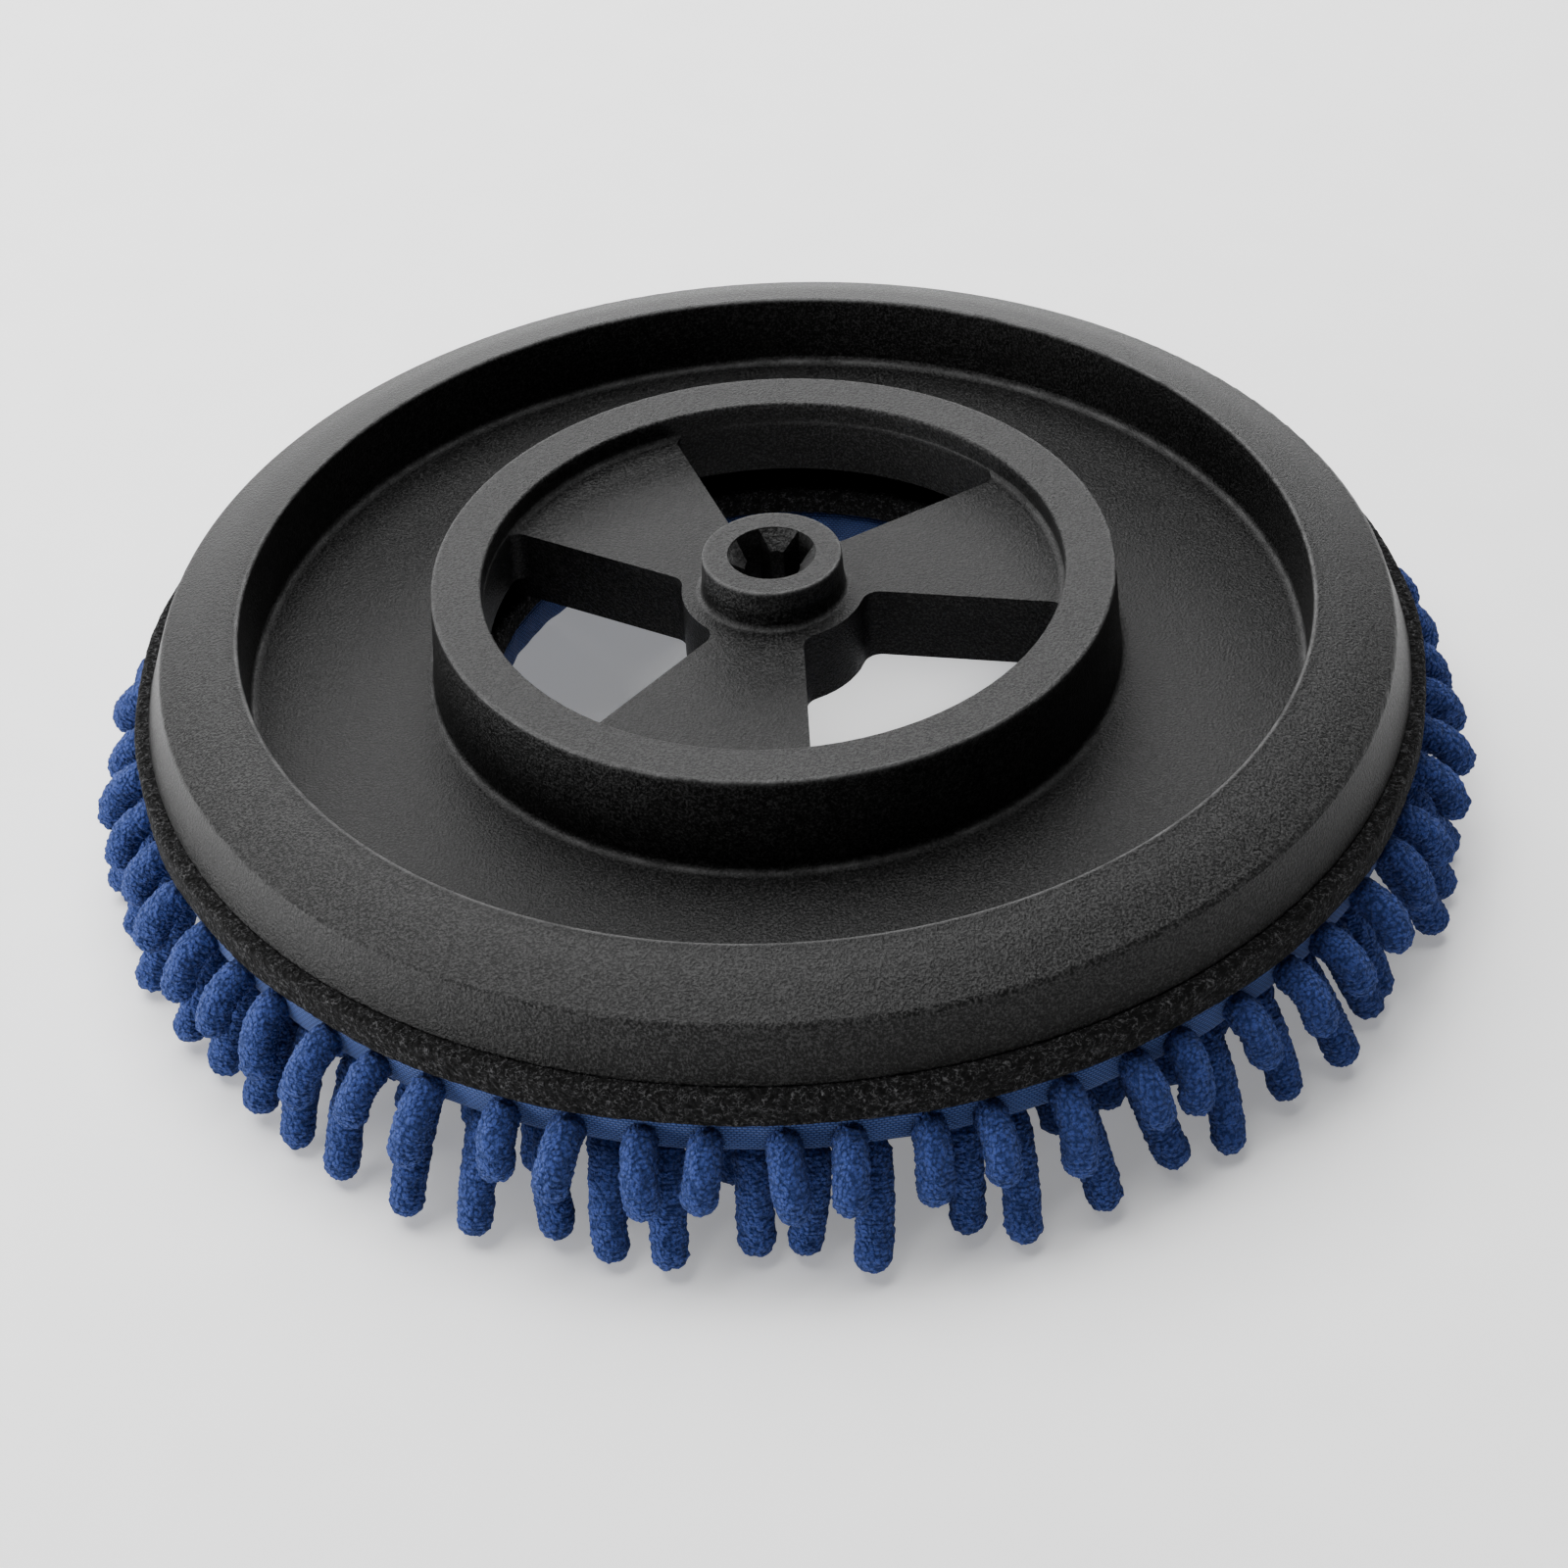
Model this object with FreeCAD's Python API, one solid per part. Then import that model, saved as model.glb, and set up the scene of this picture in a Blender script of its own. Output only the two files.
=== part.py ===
import FreeCAD, Part
import math
import os

# Drive disc and wash pad of a rotary floor cleaner, standing on its strands.
# Origin: on the disc axis, at floor level.  +Z is up, +Y is the far side.
# All lengths are millimetres, all angles degrees.

os.makedirs("parts", exist_ok=True)

# ---------------------------------------------------------------- levels
RING_TOP_Z = 82.0
HUB_TOP_Z = 86.3
SPOKE_TOP_Z = 74.6
SPOKE_BOTTOM_Z = 52.8
HUB_BOTTOM_Z = 50.4
UNDERSIDE_Z = 50.4
TROUGH_FLOOR_Z = 53.2
RING_WALL_FOOT_Z = 59.2
RIM_INNER_EDGE_Z = 75.9
RIM_SHOULDER_Z = 68.4
RIM_FOOT_Z = 53.2
FELT_BOTTOM_Z = 43.0
LIFT_GAP = 0.3
PAD_TOP_Z = FELT_BOTTOM_Z - LIFT_GAP
PAD_BOTTOM_Z = 31.4

# ---------------------------------------------------------------- plate
WALL = 3.0
RING_OUTER_R = 94.3
RING_FOOT_R = 96.3
RING_INNER_R = 80.4
RING_INNER_FOOT_R = 81.2
TROUGH_OUTER_R = 147.4
RIM_INNER_R = 148.0
RIM_SHOULDER_R = 170.6
RIM_FOOT_R = 175.9
TROUGH_FILLET = 2.5
RING_EDGE_ROUND = 0.8
RIM_EDGE_ROUND = 1.0
SHOULDER_ROUND = 2.3
LAND_CROWN = 0.7
RIM_RIB_COUNT = 24
RING_RIB_COUNT = 24
RIB_THICKNESS = 2.4
RIB_BITE = 0.8
RIM_RIB_SETBACK = 4.4
RIM_RIB_FOOT_RISE = 1.0

# Cutting solids run past the faces they cut.
CUT_PAST = 5.0
CUT_BOTTOM_Z = 40.0
CUT_HEIGHT = 60.0

# ---------------------------------------------------------------- spokes
SPOKE_COUNT = 3
FIRST_SPOKE_ANGLE = 11.5
# Each spoke flares more on one side than on the other: the side line's
# crossing with the spoke's centre line, and its angle to that line.
SPOKE_APEX_X = {-1: 2.5, 1: -24.3}
SPOKE_FLARE = {-1: 23.8, 1: 17.5}
SPOKE_ROOT_FILLET = 5.0
SPOKE_TIP_FILLET = 3.5
SPOKE_TOP_FILLET = 2.0
SPOKE_BITE = 1.4
FILLET_BITE = 0.5
FILLET_WALL_OFFSET = 0.3
HOLLOW_END_GAP = 0.5
RELIEF_REACH = 4.0
RELIEF_START = 20.0
RELIEF_FILLET = 1.0

# ---------------------------------------------------------------- hub
HUB_R = 19.3
HUB_BASE_R = 19.9
HUB_BASE_FILLET = 1.8
HUB_EDGE_ROUND = 0.6
HUB_SKIRT_R = 25.5
HUB_LID_R = 23.5
SOCKET_R = 12.25
BARREL_R = 16.2
HUB_RIB_COUNT = 6
KEY_SLOT_WIDTH = 7.8
KEY_TIP_R = 7.6
KEY_ANGLE = 32.5
KEY_BOTTOM_Z = 58.0
KEY_LEAD_DROP = 0.3
TOOTH_BITE = 0.2

# ---------------------------------------------------------------- felt
FELT_INNER_R = 80.0
FELT_OUTER_R = 180.0
FELT_LIP_GAP = 0.1
FELT_EDGE_ROUND = 1.5
FELT_LIP_ROUND = 0.8
FELT_BORE_ROUND = 0.6

# ---------------------------------------------------------------- pad
PAD_INNER_R = 81.0
PAD_OUTER_R = 177.0
TAPE = 1.2
TAPE_LAP = 10.0
LAYER_GAP = 0.1
CLOTH_SETBACK = 0.8
LOOP_BOTTOM_Z = 40.2
CORE_BOTTOM_Z = 33.9
STITCH_R = 0.35
STITCH_LENGTH = 3.4
STITCH_PITCH = 5.6
STITCH_INSET = 6.5

# ---------------------------------------------------------------- strands
STRAND_R = 4.75
INNER_ROWS = 3
FIRST_ROW_R = 126.0
ROW_PITCH = 12.0
ROW_WIDTH = 9.5
ROW_SHOULDER = 3.0
EDGE_STRANDS = 62
UPPER_ROOT_R = 182.1
UPPER_ROOT_Z = 36.5
UPPER_TIP_R = 190.0
UPPER_TIP_Z = 22.0
LOWER_ROOT_R = 171.0
LOWER_ROOT_Z = 25.4
LOWER_TIP_R = 185.0
LOWER_TIP_Z = 4.75


def vec(x, y, z):
    return FreeCAD.Vector(x, y, z)


def rz(r, z):
    return vec(r, 0.0, z)


def polar(r, angle, z):
    a = math.radians(angle)
    return vec(r * math.cos(a), r * math.sin(a), z)


def line(a, b):
    return Part.makeLine(a, b)


def arc(a, m, b):
    return Part.Arc(a, m, b).toShape()


def save(name, shape):
    shape.exportStep("parts/" + name + ".step")


def spin(edges):
    face = Part.Face(Part.Wire(edges))
    return face.revolve(vec(0, 0, 0), vec(0, 0, 1), 360.0)


def turned(points):
    """Solid of revolution from a closed straight-sided (r, z) outline."""
    corners = [rz(r, z) for r, z in points]
    wire = Part.makePolygon(corners + [corners[0]])
    return Part.Face(wire).revolve(vec(0, 0, 0), vec(0, 0, 1), 360.0)


def rounded_outline(points):
    """Closed outline in the r-z plane; each point is (r, z, rounding radius)."""
    count = len(points)
    cuts = []
    for i in range(count):
        here = rz(points[i][0], points[i][1])
        back = rz(points[i - 1][0], points[i - 1][1])
        ahead = rz(points[(i + 1) % count][0], points[(i + 1) % count][1])
        radius = points[i][2]
        if radius <= 0.0:
            cuts.append((here, here, here))
            continue
        u = (back - here).normalize()
        v = (ahead - here).normalize()
        half = 0.5 * u.getAngle(v)
        run = radius / math.tan(half)
        bisector = (u + v).normalize()
        centre = here + bisector * (radius / math.sin(half))
        cuts.append((here + u * run, centre - bisector * radius, here + v * run))
    edges = []
    for i in range(count):
        start, middle, end = cuts[i]
        if (end - start).Length > 1e-6:
            edges.append(arc(start, middle, end))
        following = cuts[(i + 1) % count][0]
        if (following - end).Length > 1e-6:
            edges.append(line(end, following))
    return edges


def prism(outline, bottom, top):
    """Upright prism from a closed plan wire drawn at z = 0."""
    face = Part.Face(outline)
    solid = face.extrude(vec(0, 0, top - bottom))
    solid.translate(vec(0, 0, bottom))
    return solid


def tube(inner, outer, bottom, top):
    ring = Part.makeCylinder(outer, top - bottom, vec(0, 0, bottom))
    bore = Part.makeCylinder(inner, top - bottom + 2.0 * CUT_PAST, vec(0, 0, bottom - CUT_PAST))
    return ring.cut(bore)


def radial_bar(r_from, r_to, thickness, bottom, top, angle):
    bar = Part.makeBox(r_to - r_from, thickness, top - bottom)
    bar.translate(vec(r_from, -0.5 * thickness, bottom))
    bar.rotate(vec(0, 0, 0), vec(0, 0, 1), angle)
    return bar


def turned_copy(shape, angle):
    copy = shape.copy()
    copy.rotate(vec(0, 0, 0), vec(0, 0, 1), angle)
    return copy


# ================================================================ plate
def ring_and_rim():
    """Ring, trough and rim as one turned shell, open underneath."""
    land_mid_r = 0.5 * (RIM_INNER_R + RIM_SHOULDER_R)
    land_mid_z = 0.5 * (RIM_INNER_EDGE_Z + RIM_SHOULDER_Z) + LAND_CROWN
    return spin(rounded_outline([
        (RIM_FOOT_R, RIM_FOOT_Z, 0.5),
        (RIM_SHOULDER_R, RIM_SHOULDER_Z, SHOULDER_ROUND),
        (land_mid_r, land_mid_z, 60.0),
        (RIM_INNER_R, RIM_INNER_EDGE_Z, RIM_EDGE_ROUND),
        (TROUGH_OUTER_R, TROUGH_FLOOR_Z, TROUGH_FILLET),
        (RING_FOOT_R, TROUGH_FLOOR_Z, TROUGH_FILLET),
        (RING_OUTER_R, RING_TOP_Z, RING_EDGE_ROUND),
        (RING_INNER_R, RING_TOP_Z, RING_EDGE_ROUND),
        (RING_INNER_FOOT_R, RING_WALL_FOOT_Z, 0.4),
        (RING_INNER_FOOT_R + WALL, RING_WALL_FOOT_Z, 0.4),
        (RING_INNER_R + WALL, RING_TOP_Z - WALL, 1.0),
        (RING_OUTER_R - WALL, RING_TOP_Z - WALL, 1.0),
        (RING_FOOT_R - WALL, UNDERSIDE_Z, 0.0),
        (TROUGH_OUTER_R + WALL, UNDERSIDE_Z, 0.0),
        (RIM_INNER_R + WALL, RIM_INNER_EDGE_Z - WALL, 1.0),
        (RIM_SHOULDER_R - WALL, RIM_SHOULDER_Z - WALL, 2.5),
        (RIM_FOOT_R - WALL, RIM_FOOT_Z, 0.5),
    ]))


def rim_rib(angle):
    """Upright web inside the rim channel, trimmed to the channel roof."""
    low_in = TROUGH_OUTER_R + WALL - RIB_BITE
    low_out = RIM_FOOT_R - WALL + RIB_BITE
    high_out = RIM_SHOULDER_R - WALL + RIB_BITE
    high_in = RIM_INNER_R + WALL - RIB_BITE
    web = Part.Face(Part.makePolygon([
        rz(low_in, UNDERSIDE_Z),
        rz(low_out - RIM_RIB_SETBACK, UNDERSIDE_Z),
        rz(low_out, RIM_FOOT_Z + RIM_RIB_FOOT_RISE),
        rz(high_out, RIM_SHOULDER_Z - WALL + RIB_BITE),
        rz(high_in, RIM_INNER_EDGE_Z - WALL + RIB_BITE),
        rz(low_in, UNDERSIDE_Z),
    ]))
    rib = web.extrude(vec(0, RIB_THICKNESS, 0))
    rib.translate(vec(0, -0.5 * RIB_THICKNESS, 0))
    return turned_copy(rib, angle)


def ring_rib(angle):
    """Web inside the ring channel, ending level with the ring's inner wall."""
    return radial_bar(
        RING_INNER_R + WALL - RIB_BITE,
        RING_OUTER_R - WALL + RIB_BITE,
        RIB_THICKNESS, RING_WALL_FOOT_Z, RING_TOP_Z - WALL + RIB_BITE, angle)


def side_point(distance, side, offset):
    """Point on a spoke's side line, measured along it from the apex."""
    a = math.radians(side * SPOKE_FLARE[side])
    along = vec(math.cos(a), math.sin(a), 0)
    across = vec(-math.sin(a), math.cos(a), 0) * side
    return vec(SPOKE_APEX_X[side], 0, 0) + along * distance + across * offset


def side_at_radius(radius, side, offset):
    """Where a spoke's offset side line crosses the circle of that radius."""
    start = side_point(0.0, side, offset)
    a = math.radians(side * SPOKE_FLARE[side])
    along = vec(math.cos(a), math.sin(a), 0)
    b = start.dot(along)
    c = start.dot(start) - radius * radius
    return start + along * (-b + math.sqrt(b * b - c))


def swing(point, angle):
    a = math.radians(angle)
    x = point.x * math.cos(a) - point.y * math.sin(a)
    y = point.x * math.sin(a) + point.y * math.cos(a)
    return vec(x, y, 0)


def window_cutter(ring_r, skirt_r, bottom, top, root_fillet, tip_fillet):
    """Opening between the first spoke and the next one round, corners rounded."""
    step = 360.0 / SPOKE_COUNT
    near_in = side_at_radius(skirt_r, 1, 0.0)
    near_out = side_at_radius(ring_r, 1, 0.0)
    far_in = swing(side_at_radius(skirt_r, -1, 0.0), step)
    far_out = swing(side_at_radius(ring_r, -1, 0.0), step)
    middle = 0.5 * step
    wire = Part.Wire([
        line(near_in, near_out),
        arc(near_out, polar(ring_r, middle, 0), far_out),
        line(far_out, far_in),
        arc(far_in, polar(skirt_r, middle, 0), near_in),
    ])
    block = prism(wire, bottom, top)
    upright = []
    for edge in block.Edges:
        a = edge.Vertexes[0].Point
        b = edge.Vertexes[-1].Point
        if abs(a.x - b.x) < 0.01 and abs(a.y - b.y) < 0.01:
            upright.append(edge)
    halfway = 0.5 * (skirt_r + ring_r)
    inner = [e for e in upright if math.hypot(e.Vertexes[0].X, e.Vertexes[0].Y) < halfway]
    outer = [e for e in upright if math.hypot(e.Vertexes[0].X, e.Vertexes[0].Y) > halfway]
    block = block.makeFillet(root_fillet, inner)
    corners = []
    for edge in block.Edges:
        a = edge.Vertexes[0].Point
        b = edge.Vertexes[-1].Point
        for old in outer:
            p = old.Vertexes[0].Point
            if abs(a.x - p.x) < 0.01 and abs(a.y - p.y) < 0.01:
                if abs(b.x - p.x) < 0.01 and abs(b.y - p.y) < 0.01:
                    corners.append(edge)
                    break
    return block.makeFillet(tip_fillet, corners)


def spoke_hollow():
    """Channel under one spoke, between skirt wall and ring wall."""
    near = HUB_SKIRT_R + HOLLOW_END_GAP
    far = RING_INNER_R - HOLLOW_END_GAP
    inset = -WALL
    wire = Part.makePolygon([
        side_at_radius(near, 1, inset),
        side_at_radius(far, 1, inset),
        side_at_radius(far, -1, inset),
        side_at_radius(near, -1, inset),
        side_at_radius(near, 1, inset),
    ])
    return prism(Part.Wire(wire), SPOKE_BOTTOM_Z - CUT_PAST, SPOKE_TOP_Z - WALL)


def spider():
    """Hub skirt and the three broad spokes, still without hub and socket."""
    disc = Part.makeCylinder(
        RING_INNER_R + SPOKE_BITE, SPOKE_TOP_Z - SPOKE_BOTTOM_Z, vec(0, 0, SPOKE_BOTTOM_Z))
    step = 360.0 / SPOKE_COUNT
    window = window_cutter(
        RING_INNER_R, HUB_SKIRT_R, SPOKE_BOTTOM_Z - CUT_PAST, SPOKE_TOP_Z + CUT_PAST,
        SPOKE_ROOT_FILLET, SPOKE_TIP_FILLET)
    relief = window_cutter(
        RING_INNER_R + RELIEF_REACH, HUB_SKIRT_R + RELIEF_START,
        SPOKE_BOTTOM_Z - CUT_PAST, RING_WALL_FOOT_Z, RELIEF_FILLET, RELIEF_FILLET)
    hollow = spoke_hollow()
    for i in range(SPOKE_COUNT):
        angle = FIRST_SPOKE_ANGLE + i * step
        disc = disc.cut(turned_copy(window, angle))
        disc = disc.cut(turned_copy(relief, angle))
        disc = disc.cut(turned_copy(hollow, angle))
    return disc


def top_fillet_ring():
    """Concave fillet where the spoke tops meet the ring's inner wall."""
    r = SPOKE_TOP_FILLET
    wall_r = RING_INNER_R + FILLET_WALL_OFFSET
    back_r = wall_r + FILLET_BITE
    z = SPOKE_TOP_Z
    low = z - FILLET_BITE
    middle = math.sqrt(0.5) * r
    fillet = spin([
        line(rz(back_r, low), rz(back_r, z + r)),
        line(rz(back_r, z + r), rz(wall_r, z + r)),
        arc(rz(wall_r, z + r), rz(wall_r - r + middle, z + r - middle), rz(wall_r - r, z)),
        line(rz(wall_r - r, z), rz(wall_r - r, low)),
        line(rz(wall_r - r, low), rz(back_r, low)),
    ])
    window = window_cutter(
        RING_INNER_R, HUB_SKIRT_R, SPOKE_BOTTOM_Z, SPOKE_TOP_Z + CUT_PAST,
        SPOKE_ROOT_FILLET, SPOKE_TIP_FILLET)
    for i in range(SPOKE_COUNT):
        angle = FIRST_SPOKE_ANGLE + i * 360.0 / SPOKE_COUNT
        fillet = fillet.cut(turned_copy(window, angle))
    return fillet


def hub():
    """Hub boss with filleted foot, plus its barrel down to the underside."""
    return spin(rounded_outline([
        (SOCKET_R, HUB_TOP_Z, 0.0),
        (HUB_R, HUB_TOP_Z, HUB_EDGE_ROUND),
        (HUB_BASE_R, SPOKE_TOP_Z, HUB_BASE_FILLET),
        (HUB_LID_R, SPOKE_TOP_Z, 0.0),
        (HUB_LID_R, SPOKE_TOP_Z - WALL, 0.0),
        (BARREL_R, SPOKE_TOP_Z - WALL, 0.0),
        (BARREL_R, HUB_BOTTOM_Z, 0.4),
        (SOCKET_R, HUB_BOTTOM_Z, 0.0),
    ]))


def socket_teeth():
    """Four teeth left between two crossed key slots, tops sloping inward."""
    slope_run = SOCKET_R - KEY_TIP_R
    lead_z = HUB_TOP_Z - KEY_LEAD_DROP
    root_r = SOCKET_R + TOOTH_BITE
    ring = turned([
        (KEY_TIP_R, KEY_BOTTOM_Z),
        (root_r, KEY_BOTTOM_Z),
        (root_r, lead_z),
        (SOCKET_R, lead_z),
        (KEY_TIP_R, lead_z - slope_run),
    ])
    reach = root_r + CUT_PAST
    for angle in (KEY_ANGLE, KEY_ANGLE + 90.0):
        slot = Part.makeBox(2.0 * reach, KEY_SLOT_WIDTH, CUT_HEIGHT)
        slot.translate(vec(-reach, -0.5 * KEY_SLOT_WIDTH, CUT_BOTTOM_Z))
        slot.rotate(vec(0, 0, 0), vec(0, 0, 1), angle)
        ring = ring.cut(slot)
    return ring


def driver_plate():
    plate = ring_and_rim()
    step = 360.0 / RIM_RIB_COUNT
    ribs = [rim_rib(FIRST_SPOKE_ANGLE + i * step) for i in range(RIM_RIB_COUNT)]
    step = 360.0 / RING_RIB_COUNT
    ribs += [ring_rib(FIRST_SPOKE_ANGLE + (i + 0.5) * step) for i in range(RING_RIB_COUNT)]
    plate = plate.fuse(ribs)
    middle = spider()
    bore = Part.makeCylinder(SOCKET_R, CUT_HEIGHT, vec(0, 0, CUT_BOTTOM_Z))
    cavity = tube(BARREL_R, HUB_SKIRT_R - WALL, HUB_BOTTOM_Z - CUT_PAST, SPOKE_TOP_Z - WALL)
    middle = middle.cut(bore).cut(cavity)
    for i in range(HUB_RIB_COUNT):
        angle = FIRST_SPOKE_ANGLE + (i + 0.5) * 360.0 / HUB_RIB_COUNT
        middle = middle.fuse(radial_bar(
            BARREL_R - RIB_BITE, HUB_SKIRT_R - WALL + RIB_BITE, RIB_THICKNESS,
            SPOKE_BOTTOM_Z, SPOKE_TOP_Z - WALL + RIB_BITE, angle))
    middle = middle.fuse([hub(), socket_teeth(), top_fillet_ring()])
    return plate.fuse(middle).removeSplitter()


# ================================================================ felt
def hook_layer():
    """Thick velour hook felt under the plate, its lip closing the rim's foot."""
    lip_top = RIM_FOOT_Z - FELT_LIP_GAP
    lip_r = RIM_FOOT_R - WALL - FELT_LIP_GAP
    return spin(rounded_outline([
        (FELT_INNER_R, FELT_BOTTOM_Z, FELT_BORE_ROUND),
        (FELT_OUTER_R, FELT_BOTTOM_Z, FELT_EDGE_ROUND),
        (FELT_OUTER_R, lip_top, FELT_LIP_ROUND),
        (lip_r, lip_top, 0.0),
        (lip_r - (lip_top - UNDERSIDE_Z), UNDERSIDE_Z, 0.0),
        (FELT_INNER_R, UNDERSIDE_Z, FELT_BORE_ROUND),
    ]))


# ================================================================ pad
def binding(edge_r, inward):
    """Woven tape folded round one edge of the pad; inward is +1 or -1."""
    lap = edge_r + inward * TAPE_LAP
    inside = edge_r + inward * TAPE
    return spin(rounded_outline([
        (lap, PAD_TOP_Z, 0.0),
        (edge_r, PAD_TOP_Z, 1.6),
        (edge_r, PAD_BOTTOM_Z, 1.6),
        (lap, PAD_BOTTOM_Z, 0.0),
        (lap, PAD_BOTTOM_Z + TAPE, 0.0),
        (inside, PAD_BOTTOM_Z + TAPE, 0.6),
        (inside, PAD_TOP_Z - TAPE, 0.6),
        (lap, PAD_TOP_Z - TAPE, 0.0),
    ]))


def cloth_layer(face_z, core_z, edge_z):
    """Cloth on one face of the pad; its stepped edges run under the bindings."""
    near = PAD_INNER_R + TAPE + LAYER_GAP + CLOTH_SETBACK
    far = PAD_OUTER_R - TAPE - LAYER_GAP - CLOTH_SETBACK
    near_lap = PAD_INNER_R + TAPE_LAP + LAYER_GAP
    far_lap = PAD_OUTER_R - TAPE_LAP - LAYER_GAP
    return turned([
        (near, core_z),
        (far, core_z),
        (far, edge_z),
        (far_lap, edge_z),
        (far_lap, face_z),
        (near_lap, face_z),
        (near_lap, edge_z),
        (near, edge_z),
    ])


def loop_face():
    """Loop cloth that grips the hooks."""
    return cloth_layer(PAD_TOP_Z, LOOP_BOTTOM_Z, PAD_TOP_Z - TAPE - LAYER_GAP)


def base_cloth():
    """Backing cloth that the strand rows are sewn to."""
    return cloth_layer(PAD_BOTTOM_Z, CORE_BOTTOM_Z, PAD_BOTTOM_Z + TAPE + LAYER_GAP)


def foam_core():
    near = PAD_INNER_R + TAPE + LAYER_GAP
    far = PAD_OUTER_R - TAPE - LAYER_GAP
    return tube(near, far, CORE_BOTTOM_Z, LOOP_BOTTOM_Z)


def stitch_line(radius, level):
    """One line of short thread stitches lying on the binding."""
    count = int(2.0 * math.pi * radius / STITCH_PITCH)
    stitches = []
    for i in range(count):
        thread = Part.makeCylinder(
            STITCH_R, STITCH_LENGTH, vec(radius, -0.5 * STITCH_LENGTH, level), vec(0, 1, 0))
        stitches.append(turned_copy(thread, i * 360.0 / count))
    return Part.makeCompound(stitches)


# ================================================================ strands
def strand(root, tip):
    """One chenille finger: a straight round bar with two domed ends."""
    run = tip - root
    bar = Part.makeCylinder(STRAND_R, run.Length, root, run)
    return bar.fuse([
        Part.makeSphere(STRAND_R, root),
        Part.makeSphere(STRAND_R, tip),
    ]).removeSplitter()


def edge_row(root_r, root_z, tip_r, tip_z, phase):
    """A row of strands round the pad's outer edge, fanning outwards."""
    finger = strand(rz(root_r, root_z), rz(tip_r, tip_z))
    step = 360.0 / EDGE_STRANDS
    return Part.makeCompound(
        [turned_copy(finger, (i + phase) * step) for i in range(EDGE_STRANDS)])


def inner_row(centre_r):
    """Closed soft ring standing in for one sewn row of hanging strands."""
    half = 0.5 * ROW_WIDTH
    return spin(rounded_outline([
        (centre_r - half, PAD_BOTTOM_Z, 0.0),
        (centre_r - half, 0.0, ROW_SHOULDER),
        (centre_r + half, 0.0, ROW_SHOULDER),
        (centre_r + half, PAD_BOTTOM_Z, 0.0),
    ]))


save("driver_plate", driver_plate())
save("hook_layer", hook_layer())
save("pad_loop_face", loop_face())
save("pad_foam_core", foam_core())
save("pad_base_cloth", base_cloth())
save("outer_binding", binding(PAD_OUTER_R, -1))
save("inner_binding", binding(PAD_INNER_R, 1))
stitch_z = PAD_BOTTOM_Z - STITCH_R
save("outer_binding_stitches", stitch_line(PAD_OUTER_R - STITCH_INSET, stitch_z))
save("inner_binding_stitches", stitch_line(PAD_INNER_R + STITCH_INSET, stitch_z))
save("edge_strands_upper", edge_row(UPPER_ROOT_R, UPPER_ROOT_Z, UPPER_TIP_R, UPPER_TIP_Z, 0.0))
save("edge_strands_lower", edge_row(LOWER_ROOT_R, LOWER_ROOT_Z, LOWER_TIP_R, LOWER_TIP_Z, 0.5))
for row in range(INNER_ROWS):
    save("strand_row_" + str(row + 1), inner_row(FIRST_ROW_R + row * ROW_PITCH))
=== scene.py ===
import math
import random

import bpy
import numpy as np
from mathutils import Euler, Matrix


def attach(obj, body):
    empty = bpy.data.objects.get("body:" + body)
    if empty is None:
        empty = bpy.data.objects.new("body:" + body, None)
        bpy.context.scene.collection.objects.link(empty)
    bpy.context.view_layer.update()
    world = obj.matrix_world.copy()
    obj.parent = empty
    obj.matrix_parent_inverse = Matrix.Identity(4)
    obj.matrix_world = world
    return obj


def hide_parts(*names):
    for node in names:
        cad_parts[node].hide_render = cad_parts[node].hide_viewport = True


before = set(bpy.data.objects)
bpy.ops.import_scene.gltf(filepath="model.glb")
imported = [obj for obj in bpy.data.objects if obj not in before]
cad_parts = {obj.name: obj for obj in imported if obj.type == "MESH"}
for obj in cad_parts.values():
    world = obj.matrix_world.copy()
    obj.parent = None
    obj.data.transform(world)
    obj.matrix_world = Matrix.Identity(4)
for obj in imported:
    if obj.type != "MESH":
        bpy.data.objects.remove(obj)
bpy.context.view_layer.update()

# ------------------------------------------------------------------ sizes, metres
# The same numbers as the CAD source, repeated because that file isn't read here.
FELT_INNER_R = 0.0800
FELT_OUTER_R = 0.1800
FELT_BOTTOM = 0.0430
FELT_TOP = 0.0504
FELT_LIP_TOP = 0.0531
FELT_LIP_R = 0.1728
PAD_INNER_R = 0.0810
PAD_OUTER_R = 0.1770
PAD_TOP = 0.0427
PAD_BOTTOM = 0.0314
CORE_TOP = 0.0402
CORE_BOTTOM = 0.0339
TAPE = 0.0012
TAPE_LAP = 0.0100
STRAND_R = 0.00475
EDGE_STRANDS = 62
ROW_RADII = (0.1260, 0.1380, 0.1500)
ROW_SPACING = 0.0120
STITCH_PITCH = 0.0056
STITCH_LENGTH = 0.0034
STITCH_INSET = 0.0065

# Only here: details that the CAD solids don't have.
ROW_PITCHES = (0.0126, 0.0132, 0.0165)
QUILT_SWELL = 0.0006
FINGER_TIP_Z = 0.0058
FINGER_ROOT_Z = PAD_BOTTOM + 0.0003

# Edges and feet of the plate that get painted highlight lines: radius, level, reach out, reach up.
HIGHLIGHT_LINE_PLACES = {
    "ring_edge": (0.0940, 0.0816, 0.0010, 0.0010),
    "rim_edge": (0.1484, 0.0756, 0.0011, 0.0011),
    "hub_edge": (0.0190, 0.0860, 0.0009, 0.0009),
    "ring_foot": (0.0971, 0.0540, 0.0011, 0.0013),
    "trough_end": (0.1466, 0.0541, 0.0011, 0.0013),
    "hub_foot": (0.0208, 0.0753, 0.0010, 0.0011),
    "spoke_end": (0.0797, 0.0757, 0.0011, 0.0013),
}

ROUND_SEGMENTS = 900
rng = random.Random(41)


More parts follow.
